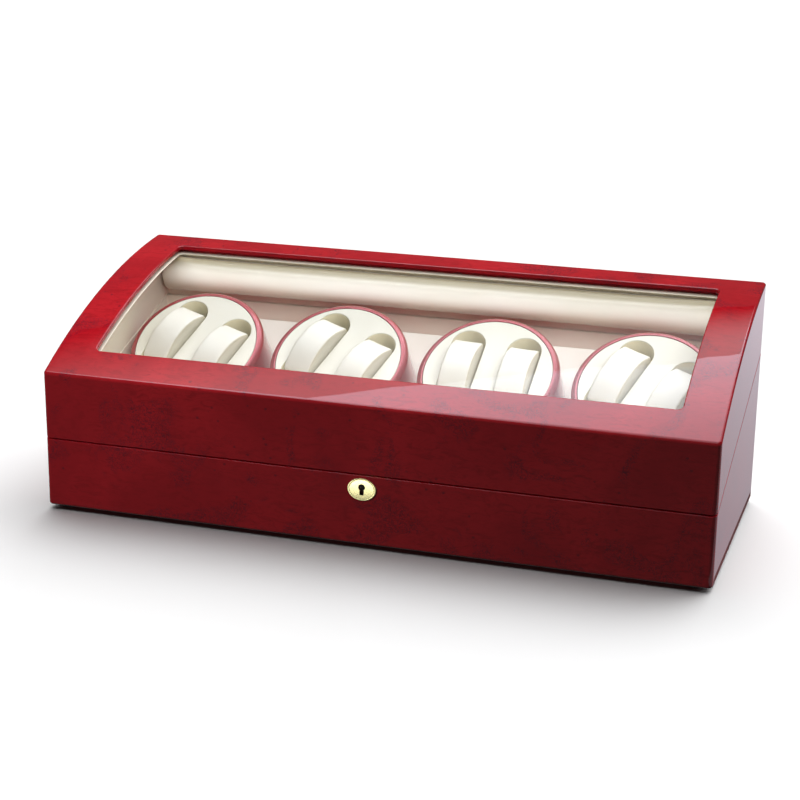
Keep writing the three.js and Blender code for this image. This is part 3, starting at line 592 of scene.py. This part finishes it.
def make_base_shell():
    rows = []
    for inset, rise in quarter_round(LOWER_ROUND, 5):
        rows.append(loop(outline(inset, CASE_CORNER - inset), lambda y, h=rise: h))
    for drop, inset in quarter_round(PART_ROUND, 3):
        rows.append(loop(outline(inset, CASE_CORNER - inset), lambda y, d=drop: parting(y) - PART_OPEN - d))
    rim_corner = 2
    rows.append(loop(outline(RIM_OUTER, rim_corner), lambda y: parting(y) - RIM_SINK))
    rows.append(loop(outline(RIM_INNER, rim_corner), lambda y: parting(y) - RIM_CLEAR))
    rows.append(loop(outline(WALL, INNER_CORNER), lambda y: parting(y) - RIM_CLEAR))
    rows.append(loop(outline(WALL, INNER_CORNER), lambda y: 0))
    made = surface("base_shell_lacquered", rows, "lacquer", closed=True)
    panel_edge = 4
    lock_low, lock_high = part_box("lock_case")
    lock_front = lock_low.y - CLEAR * MM
    inside = BASE_HIGH.y - 2.5 * WALL * MM
    outside = BASE_HIGH.y + WALL * MM
    cut(
        made,
        prism("key_cut", keyhole(1.2), -5, WALL + 1, lambda u, v, level: point(u, level, v)),
        front_prism("lock_cut", front_view("lock_case", CLEAR, top=20), lock_front, lock_high.y),
        front_prism("rear_cut", front_view("rear_panel", -panel_edge), inside, outside),
    )
    smooth(made)
    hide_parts("base_shell")
    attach(made, "case")


def make_pane():
    edge = 0.5
    low = window_outline(PANE_LAP - edge, PANE_CORNER)
    wide = window_outline(PANE_LAP, PANE_CORNER)
    middle = [(0.0, (WINDOW_FRONT + WINDOW_BACK) / 2)] * len(low)
    rows = []
    for plan, depth in (
        [(between(low, middle, t), PANE_DEPTH) for t in (0.9, 0.75, 0.5, 0.25, 0)]
        + [(wide, PANE_DEPTH + edge), (wide, PANE_DEPTH + PANE_THICKNESS - edge)]
        + [(between(low, middle, t), PANE_DEPTH + PANE_THICKNESS) for t in (0, 0.25, 0.5, 0.75, 0.9)]
    ):
        rows.append(loop(plan, lambda y, d=depth: roof(y, d)))
    made = smooth(surface("window_pane_clear", rows, "pane"))
    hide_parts("window_pane")
    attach(made, "lid")


# ---------------------------------------------------------------- cream linings
def make_lid_liner():
    bottom = UPSTAND + PART_GAP
    inner = WALL + LINER
    flange = ROOF_THICKNESS + LINER
    seat = PANE_DEPTH + PANE_THICKNESS + CLEAR
    rows = [
        loop(outline(inner + 0.2, LINER_CORNER), lambda y: roof(y, flange)),
        loop(outline(inner, LINER_CORNER), lambda y: roof(y, flange + 0.5)),
        loop(outline(inner, LINER_CORNER), lambda y: parting(y) + bottom + 0.4),
        loop(outline(inner - 0.1, LINER_CORNER), lambda y: parting(y) + bottom + 0.1),
        loop(outline(inner - 0.4, LINER_CORNER), lambda y: parting(y) + bottom),
        loop(outline(WALL + CLEAR + 0.5, LINER_CORNER), lambda y: parting(y) + bottom),
        loop(outline(WALL + CLEAR, LINER_CORNER), lambda y: parting(y) + bottom + 0.5),
        loop(outline(WALL + CLEAR, LINER_CORNER), lambda y: roof(y, ROOF_THICKNESS + CLEAR)),
        loop(window_outline(PANE_LAP - CLEAR, LAP_CORNER), lambda y: roof(y, ROOF_THICKNESS + CLEAR)),
        loop(window_outline(PANE_LAP - CLEAR, LAP_CORNER), lambda y: roof(y, seat)),
        loop(window_outline(0.3 - REVEAL), lambda y: roof(y, seat)),
        loop(window_outline(-REVEAL), lambda y: roof(y, seat + 0.3)),
        loop(window_outline(-REVEAL), lambda y: roof(y, seat + 0.6)),
        loop(window_outline(0.3 - REVEAL), lambda y: roof(y, seat + 0.9)),
        loop(window_outline(TURN_BACK), lambda y: roof(y, flange)),
    ]
    made = smooth(surface("lid_liner_leatherette", rows, "liner", closed=True))
    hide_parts("lid_liner")
    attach(made, "lid")


def make_base_liner():
    inner = WALL + CLEAR + LINER
    room = (-HALF_WIDTH, HALF_WIDTH, 0, BACK_LINER_FRONT + inner)
    shell = (-HALF_WIDTH, HALF_WIDTH, 0, BACK_LINER_REAR + WALL + CLEAR)
    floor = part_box("base_liner")[0].z / MM - UNDERSIDE / MM
    rows = [loop(outline(WALL + CLEAR, LINER_CORNER, shell), lambda y: floor)]
    for a in arc(0, 180, 8):
        a = math.radians(a)
        t = (1 - math.cos(a)) / 2
        plan = between(outline(WALL + CLEAR, LINER_CORNER, shell), outline(inner, LINER_CORNER, room), t)
        lift = 0.6 * math.sin(a)
        rows.append(loop(plan, lambda y, h=lift: parting(y) + UPSTAND - 0.6 + h))
    rows.append(loop(outline(inner, LINER_CORNER, room), lambda y: floor))
    made = surface("base_liner_leatherette", rows, "liner", closed=True)
    lock_low, lock_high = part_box("lock_case")
    lock_back = lock_high.y + 1 * MM
    behind = BASE_HIGH.y - 4 * WALL * MM
    cut(
        made,
        front_prism("panel_cut", front_view("rear_panel", 2), behind, BASE_HIGH.y),
        front_prism("lock_cut", front_view("lock_case", CLEAR, top=30), lock_low.y, lock_back),
    )
    smooth(made)
    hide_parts("base_liner")
    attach(made, "case")


# ---------------------------------------------------------------- turntables
def table_frame(number):
    """From a turntable's own millimetres (its axis is Z, its face is at 0) to the frame's metres."""
    centre = point((number - 2.5) * TABLE_PITCH, TABLE_Y, TABLE_Z)
    tilt = Matrix.Rotation(TABLE_TILT, 4, "X")
    return Matrix.Translation(centre) @ tilt @ Matrix.Diagonal((MM, MM, MM, 1))


def turning_frame(number):
    return table_frame(number) @ Matrix.Rotation(math.radians(TABLE_SPIN[number]), 4, "Z")


def make_deck():
    slope = math.tan(TABLE_TILT)
    deck_y = TABLE_Y + DECK_DROP * math.sin(TABLE_TILT)
    deck_z = TABLE_Z - DECK_DROP * math.cos(TABLE_TILT)
    bend = deck_y - (deck_z - TRAY_Z) / slope
    front = WALL + LINER + 2 * CLEAR
    back = BACK_LINER_FRONT - CLEAR
    radius = 14
    start = bend - radius * math.tan(TABLE_TILT / 2)
    top = [(front, TRAY_Z)]
    for a in arc(0, TABLE_TILT, 10):
        top.append((start + radius * math.sin(a), TRAY_Z + radius * (1 - math.cos(a))))
    top.append((back, TRAY_Z + (back - bend) * slope))
    drop = DECK_THICKNESS / math.cos(TABLE_TILT)
    under = [
        (back, TRAY_Z + (back - bend) * slope - drop),
        (bend + 2, TRAY_Z - DECK_THICKNESS),
        (front, TRAY_Z - DECK_THICKNESS),
    ]
    profile = top + under
    half = HALF_WIDTH - WALL - LINER - 2 * CLEAR
    rows = [[point(x, y, z) for y, z in profile] for x in (-half, half)]
    made = surface("deck_panel_leatherette", rows, "deck")
    circle = [math.radians(a) for a in arc(0, 360, 32)[:-1]]
    hole_radius = BUSH_RADIUS + CLEAR
    hole = [(hole_radius * math.cos(a), hole_radius * math.sin(a)) for a in circle]
    low, high = -DECK_DROP - 12, -DECK_DROP + 4
    for number in TABLES:
        place = table_frame(number)
        cut(made, prism("bush_cut", hole, low, high, lambda u, v, w: place @ Vector((u, v, w))))
    smooth(bevelled(made, 0.6, 2, 60))
    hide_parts("deck_panel")
    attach(made, "case")


def turned(name, profile, place, material, steps=128):
    """A closed outline of (radius, height) turned about Z and put in place."""
    rows = []
    for a in arc(0, 2 * math.pi, steps)[:-1]:
        rows.append([place @ Vector((r * math.cos(a), r * math.sin(a), z)) for r, z in profile])
    return surface(name, rows, material, closed=True)


def make_drum(number):
    spindle = 3.3
    round_lip = 5
    lip = []
    for a in arc(0, math.pi / 2, 10):
        r = DRUM_RADIUS - round_lip + round_lip * math.cos(a)
        lip.append((r, -round_lip + round_lip * math.sin(a)))
    inner_floor = -DRUM_HEIGHT + DRUM_FLOOR
    profile = [
        (spindle, -DRUM_HEIGHT), (DRUM_RADIUS - 1.5, -DRUM_HEIGHT),
        (DRUM_RADIUS - 0.4, -DRUM_HEIGHT + 0.4), (DRUM_RADIUS, -DRUM_HEIGHT + 1.5),
        *lip, (DRUM_INNER + 0.1, -0.15), (DRUM_INNER, -0.5), (DRUM_INNER, -2),
        (DRUM_INNER, inner_floor), (spindle, inner_floor),
    ]
    made = smooth(turned(f"drum_{number}_painted", profile, turning_frame(number), "drum"), 50)
    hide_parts(f"drum_{number}")
    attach(made, f"turntable_{number}")


def make_insert(number):
    place = turning_frame(number)
    circle = [math.radians(a) for a in arc(0, 360, 128)[:-1]]
    radius = DRUM_INNER - CLEAR
    disc = [(radius * math.cos(a), radius * math.sin(a)) for a in circle]
    floor = -DRUM_HEIGHT + DRUM_FLOOR + CLEAR
    made = prism(f"insert_{number}_leatherette", disc, floor, 0, lambda u, v, w: Vector((u, v, w)) * MM)
    run = POCKET_HALF_LENGTH - POCKET_HALF_WIDTH
    for side in (-1, 1):
        pocket = []
        for start, centre in ((0, run), (180, -run)):
            for a in arc(start, start + 180, 24):
                a = math.radians(a)
                x = side * POCKET_OFFSET + POCKET_HALF_WIDTH * math.cos(a)
                pocket.append((x, centre + POCKET_HALF_WIDTH * math.sin(a)))
        cut(made, prism("pocket_cut", pocket, -POCKET_DEPTH, 5, lambda u, v, w: Vector((u, v, w)) * MM))
    bevelled(made, 0.7, 3, 40)
    made.data.materials.clear()
    made.data.materials.append(MATERIALS["face"])
    made.data.materials.append(MATERIALS["suede"])
    for face in made.data.polygons:
        inside = face.center.xy.length < (radius - 1.5) * MM
        face.material_index = 1 if inside and face.center.z < -0.9 * MM else 0
    made.data.transform(place @ Matrix.Diagonal((1 / MM, 1 / MM, 1 / MM, 1)))
    smooth(made)
    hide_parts(f"insert_{number}")
    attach(made, f"turntable_{number}")


# ---------------------------------------------------------------- padded pieces
def inflate(obj, voxel, cap, pinned):
    """Remeshes obj, swells it by a pressurised cloth step, and caps how far a point moves."""
    remesh = obj.modifiers.new("remesh", "REMESH")
    remesh.mode = "VOXEL"
    remesh.voxel_size = voxel
    baked(obj)
    start = [v.co.copy() for v in obj.data.vertices]
    held = obj.vertex_groups.new(name="held")
    for vertex in obj.data.vertices:
        held.add([vertex.index], pinned(vertex.co), "REPLACE")
    cloth = obj.modifiers.new("cloth", "CLOTH")
    cloth.settings.quality = 6
    cloth.settings.mass = 0.3
    cloth.settings.tension_stiffness = 15
    cloth.settings.compression_stiffness = 15
    cloth.settings.bending_stiffness = 0.5
    cloth.settings.use_pressure = True
    cloth.settings.uniform_pressure_force = CLOTH_PRESSURE
    cloth.settings.vertex_group_mass = "held"
    cloth.settings.effector_weights.gravity = 0
    cloth.collision_settings.use_collision = False
    for step in range(1, CLOTH_STEPS + 1):
        bpy.context.scene.frame_set(step)
    deps = bpy.context.evaluated_depsgraph_get()
    moved = [v.co.copy() for v in obj.evaluated_get(deps).data.vertices]
    obj.modifiers.clear()
    bpy.context.scene.frame_set(1)
    for vertex, old, new in zip(obj.data.vertices, start, moved):
        push = new - old
        if push.length > cap:
            push *= cap / push.length
        vertex.co = old + push
    obj.vertex_groups.clear()
    return obj


def relaxed(obj, rounds):
    """Evens out a swollen mesh and doubles its resolution."""
    smoother = obj.modifiers.new("smoother", "SMOOTH")
    smoother.factor = 0.5
    smoother.iterations = rounds
    fine = obj.modifiers.new("fine", "SUBSURF")
    fine.levels = 1
    fine.render_levels = 1
    return baked(obj)


def cushion_profile(shrink):
    half = CUSHION_HALF_LENGTH - shrink
    crown = CUSHION_CROWN - shrink
    radius = (half * half + crown * crown) / (2 * crown)
    reach = math.asin(half / radius)
    points = []
    for a in arc(-reach, reach, 40):
        points.append((radius * math.sin(a), crown - radius + radius * math.cos(a)))
    depth = CUSHION_DEPTH - CUSHION_WAIST - shrink
    for a in arc(0, math.pi, 32):
        points.append((half * math.cos(a), -CUSHION_WAIST - depth * math.sin(a)))
    return points


def make_cushion_mesh():
    """One watch cushion in its own millimetres: a leatherette band round two flat side panels."""
    scale = 0.01
    shrink = 0.9
    half = CUSHION_HALF_WIDTH - shrink
    profile = cushion_profile(shrink)
    rows = [[Vector((x, y, z)) * scale for y, z in profile] for x in (-half, half)]
    blank = surface("cushion_blank", rows, "cushion")
    seam = half - 0.3
    groove_width = 0.45
    groove_depth = 0.35
    core_z = -9
    stitch_tint = 0.8

    def pinned(co):
        edge = abs(abs(co.x / scale) - half)
        return max(0.0, min(1.0, 1.2 - edge / 1.5))

    inflate(blank, 1.5 * scale, shrink * scale, pinned)
    relaxed(blank, 3)
    marks = blank.data.attributes.new("seam", "FLOAT", "POINT")
    for vertex in blank.data.vertices:
        x, y, z = vertex.co / scale
        groove = math.exp(-((abs(x) - seam) / groove_width) ** 2)
        inward = Vector((0, -y, core_z - z)).normalized()
        vertex.co += inward * groove * groove_depth * scale
        marks.data[vertex.index].value = stitch_tint * groove
    mesh = blank.data
    mesh.transform(Matrix.Diagonal((1 / scale, 1 / scale, 1 / scale, 1)))
    bpy.data.objects.remove(blank)
    return mesh


def make_cushions():
    shape = make_cushion_mesh()
    for number in TABLES:
        for hand, side in (("left", -1), ("right", 1)):
            mesh = shape.copy()
            mesh.transform(turning_frame(number) @ Matrix.Translation((side * POCKET_OFFSET, 0, 0)))
            node = f"cushion_{number}_{hand}"
            made = linked(f"{node}_padded", mesh)
            smooth(made, 60, weighted=False)
            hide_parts(node)
            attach(made, node)


def make_bolster():
    half = HALF_WIDTH - WALL - LINER - 3 * CLEAR
    back = DEPTH - WALL - LINER - 2 * CLEAR
    plumpness = 0.65
    profile = []
    for a in arc(math.pi / 2, math.pi * 1.5, 36):
        y = back - BOLSTER_REACH * abs(math.cos(a)) ** plumpness
        z = BOLSTER_Z + math.sin(a) * (BOLSTER_RISE if math.sin(a) > 0 else BOLSTER_DROP)
        share = max(0, min(1, (y - WINDOW_BACK) / TURN_BACK))
        under_lip = PANE_DEPTH + PANE_THICKNESS + 1.9
        under_roof = ROOF_THICKNESS + LINER + 0.9
        profile.append((y, min(z, roof(y, under_lip + (under_roof - under_lip) * share))))
    rows = []
    end = 2.5
    for x, share in ((-half, 0.9), (end - half, 1), (half - end, 1), (half, 0.9)):
        rows.append([
            point(x, back + (y - back) * share, BOLSTER_Z + (z - BOLSTER_Z) * share) for y, z in profile
        ])
    made = surface("lid_bolster_satin", rows, "satin")
    rear = point(0, back, 0).y

    def pinned(co):
        return 1.0 if co.y > rear - 1.2 * MM else 0.0

    inflate(made, 3.5 * MM, 1.6 * MM, pinned)
    relaxed(made, 6)
    smooth(made, 60, weighted=False)
    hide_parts("lid_bolster")
    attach(made, "lid")


# ---------------------------------------------------------------- fittings
def make_escutcheon():
    half_width = 11.6
    half_height = 9
    sections = [
        (1.0, 0.6), (1.0, -0.45), (0.985, -0.8), (0.95, -1.0), (0.915, -1.0), (0.88, -0.85),
        (0.85, -0.62), (0.6, -0.72), (0.0, -0.76),
    ]
    rows = []
    turn = [math.radians(a) for a in arc(0, 360, 96)[:-1]]
    for share, y in sections:
        share = max(share, 0.01)
        rows.append([
            point(half_width * share * math.cos(a), y, PLATE_Z + half_height * share * math.sin(a))
            for a in turn
        ])
    made = surface("lock_escutcheon_brass", rows, "brass")
    cut(made, prism("key_cut", keyhole(0), -3, 3, lambda u, v, level: point(u, level, v)))
    smooth(made, 35, weighted=False)
    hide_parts("lock_escutcheon")
    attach(made, "case")


def make_feet():
    radius = 6
    height = 3.5
    rounding = 2.1
    chamfer = 0.4
    hub = 0.02
    for end in ("front", "rear"):
        for hand in ("left", "right"):
            node = f"foot_{end}_{hand}"
            low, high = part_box(node)
            centre = (low + high) / 2
            place = Matrix.Translation((centre.x, centre.y, high.z)) @ Matrix.Diagonal((MM, MM, MM, 1))
            side = rounding - height
            profile = [(hub, 0), (radius - chamfer, 0), (radius, -chamfer), (radius, side)]
            for a in arc(0, math.pi / 2, 6):
                out = radius - rounding + rounding * math.cos(a)
                profile.append((out, side - rounding * math.sin(a)))
            profile.append((hub, -height))
            made = smooth(turned(f"{node}_rubber", profile, place, "rubber", 48), 50)
            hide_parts(node)
            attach(made, "case")


def finish_cad_nodes():
    """The CAD nodes whose shape is right keep it and get their material."""
    groups = {
        "fibreboard": ["bottom_panel"],
        "brass": ["strike_plate", "lock_bolt"],
        "steel": ["hinge_pin_left", "hinge_pin_right", "lock_case", "lock_tumbler", "motor_rail"],
        "plastic": ["rear_panel", "dc_socket", "mode_knob"],
        "board": ["control_board"],
        "bronze": [f"bearing_bush_{n}" for n in TABLES],
        "acetal": [f"{kind}_{n}" for kind in ("pinion", "spindle_gear") for n in TABLES],
    }
    for hand in ("left", "right"):
        groups["brass"] += [f"hinge_{kind}_leaf_{hand}" for kind in ("base", "lid")]
    groups["steel"] += [f"motor_{n}" for n in TABLES]
    for material, nodes in groups.items():
        for name in nodes:
            data = frame["nodes"][name].data
            data.materials.clear()
            data.materials.append(MATERIALS[material])


# ---------------------------------------------------------------- studio
def make_camera():
    camera = linked("camera", bpy.data.cameras.new("camera"))
    camera.data.lens = CAMERA_LENS
    camera.data.clip_start = 0.05
    turn = (
        Matrix.Rotation(CAMERA_AZIMUTH, 4, "Z")
        @ Matrix.Rotation(math.pi / 2 - CAMERA_ELEVATION, 4, "X")
        @ Matrix.Rotation(CAMERA_ROLL, 4, "Z")
    )
    away = Matrix.Translation((0, 0, CAMERA_DISTANCE))
    camera.matrix_world = Matrix.Translation(CAMERA_AIM) @ turn @ away
    bpy.context.scene.camera = camera


def softbox(name, place, aim, size, power, colour=(1, 1, 1)):
    light = bpy.data.lights.new(name, "AREA")
    light.shape = "RECTANGLE"
    light.size, light.size_y = size
    light.energy = power
    light.color = colour
    obj = linked(name, light)
    direction = Vector(aim) - Vector(place)
    turn = direction.to_track_quat("-Z", "Y").to_matrix().to_4x4()
    obj.matrix_world = Matrix.Translation(place) @ turn
    return obj


def make_world():
    """A dome that is brightest above and behind; reflections see a dark room instead."""
    world = bpy.data.worlds.new("studio")
    bpy.context.scene.world = world
    world.use_nodes = True
    tree = world.node_tree
    background = tree.nodes["Background"]
    background.inputs["Color"].default_value = (1, 1, 1, 1)
    toward = tree.nodes.new("ShaderNodeVectorMath")
    toward.operation = "DOT_PRODUCT"
    toward.inputs[1].default_value = DOME_AIM
    tree.links.new(tree.nodes.new("ShaderNodeTexCoord").outputs["Generated"], toward.inputs[0])
    above = tree.nodes.new("ShaderNodeMath")
    above.operation = "MAXIMUM"
    above.inputs[1].default_value = 0
    tree.links.new(toward.outputs["Value"], above.inputs[0])
    focus = tree.nodes.new("ShaderNodeMath")
    focus.operation = "POWER"
    focus.inputs[1].default_value = DOME_FOCUS
    tree.links.new(above.outputs[0], focus.inputs[0])
    dome = tree.nodes.new("ShaderNodeMapRange")
    dome.inputs["To Max"].default_value = DOME_STRENGTH
    tree.links.new(focus.outputs[0], dome.inputs["Value"])
    choice = tree.nodes.new("ShaderNodeMapRange")
    choice.inputs["To Max"].default_value = ROOM_GLOSS
    path = tree.nodes.new("ShaderNodeLightPath")
    tree.links.new(path.outputs["Is Glossy Ray"], choice.inputs["Value"])
    tree.links.new(dome.outputs["Result"], choice.inputs["To Min"])
    tree.links.new(choice.outputs["Result"], background.inputs["Strength"])


def card(name, place, size, near, far, colour=(1, 1, 1)):
    """A glowing board that only reflections see; its glow goes from near to far along its own y."""
    mesh = bpy.data.meshes.new(name)
    width, length = size
    mesh.from_pydata([(0, 0, 0), (width, 0, 0), (width, length, 0), (0, length, 0)], [], [(0, 1, 2, 3)])
    obj = linked(name, mesh)
    obj.matrix_world = place
    mat = Material(name, Base_Color=(0, 0, 0, 1), Emission_Color=(*colour, 1))
    along = mat.add("ShaderNodeSeparateXYZ")
    mat.join(mat.place, along.inputs[0])
    mat.join(mat.ramp(along.outputs["Y"], 0, length, near, far), mat.shader.inputs["Emission Strength"])
    mesh.materials.append(mat.data)
    for kind in ("camera", "diffuse", "transmission", "volume_scatter", "shadow"):
        setattr(obj, f"visible_{kind}", False)


def make_studio():
    bpy.context.scene.view_settings.view_transform = "Standard"
    make_world()
    # the overhead board's bright edge runs through EDGE_POINT, and it dims to the right
    turn = Matrix.Rotation(EDGE_TURN, 4, "Z")
    overhead = Matrix.Translation(EDGE_POINT) @ turn @ Matrix.Translation((-1.2, -1.3, 0))
    card("overhead_card", overhead, (2.6, 1.3), 0.9, 4.2, (0.84, 0.88, 1))
    card("veil_card", overhead @ Matrix.Translation((0, 1.3, 0)), (2.6, 0.6), 1.7, 0, (1, 0.96, 1))
    right = Matrix.Translation((0.272, -0.13, 0.004))
    card("right_card", right, (1.4, 1.2), 0.44, 1.0, (0.93, 0.90, 1))
    front = Matrix.Translation((-0.02, -0.125, 0.004)) @ Matrix.Rotation(math.radians(205), 4, "Z")
    card("front_card", front, (1.2, 1.0), 0.07, 0.02)


def light_only(light, *names):
    """Masks a light so that only pieces with these materials get it."""
    wanted = {MATERIALS[name] for name in names}
    receivers = bpy.data.collections.new(f"{light.name}_receivers")
    for obj in bpy.data.objects:
        if obj.type == "MESH" and wanted & set(obj.data.materials):
            receivers.objects.link(obj)
    light.light_linking.receiver_collection = receivers


def fill(name, place, aim, size, power, *materials):
    """A soft light for some materials only, without a reflection of its own."""
    light = softbox(name, place, aim, size, power)
    light.visible_glossy = False
    light_only(light, *materials)


def make_masked_lights():
    fill("front_fill", (-0.55, -0.62, 0.5), (-0.2, -0.1, 0.06), (0.5, 0.5), 3.4, "lacquer", "rubber")
    fill("inside_fill", (0.6, -1.0, 0.85), BOX_MIDDLE, (1.2, 0.8), 18.5, "deck", "face", "cushion")
    fill("wall_fill", (0.35, -0.8, 1.1), BOX_MIDDLE, (1.2, 0.8), 13, "liner", "deck")
    fill("cushion_fill", (1.0, -0.4, 0.85), BOX_MIDDLE, (0.6, 0.6), 3.5, "cushion")
    # these two also show in the gloss of their own piece
    roll = point(0, WINDOW_BACK, BOLSTER_Z)
    sheen = softbox("satin_fill", (-0.15, -0.9, 0.6), roll, (1.4, 0.15), 17.5, (0.96, 0.98, 1))
    light_only(sheen, "satin")
    plate = point(0, 0, PLATE_Z)
    glint = softbox("brass_glint", plate + Vector((-0.04, -0.13, -0.02)), plate, (0.16, 0.06), 0.09)
    light_only(glint, "brass")


def make_floor():
    mesh = bpy.data.meshes.new("floor")
    reach = 14
    corners = [(-reach, -reach, 0), (reach, -reach, 0), (reach, reach, 0), (-reach, reach, 0)]
    mesh.from_pydata(corners, [], [(0, 1, 2, 3)])
    floor = linked("floor", mesh)
    mat = Material("pale_floor", Roughness=0.9)
    mat.colour(mat.mix(mat.noise(3, 2), (0.74, 0.74, 0.74), (0.72, 0.72, 0.72)))
    mesh.materials.append(mat.data)
    floor.visible_glossy = False
    floor.visible_diffuse = False


make_camera()
make_studio()
make_floor()
make_lid_shell()
make_base_shell()
make_pane()
make_lid_liner()
make_base_liner()
make_deck()
for table in TABLES:
    make_drum(table)
    make_insert(table)
make_cushions()
make_bolster()
make_escutcheon()
make_feet()
finish_cad_nodes()
make_masked_lights()
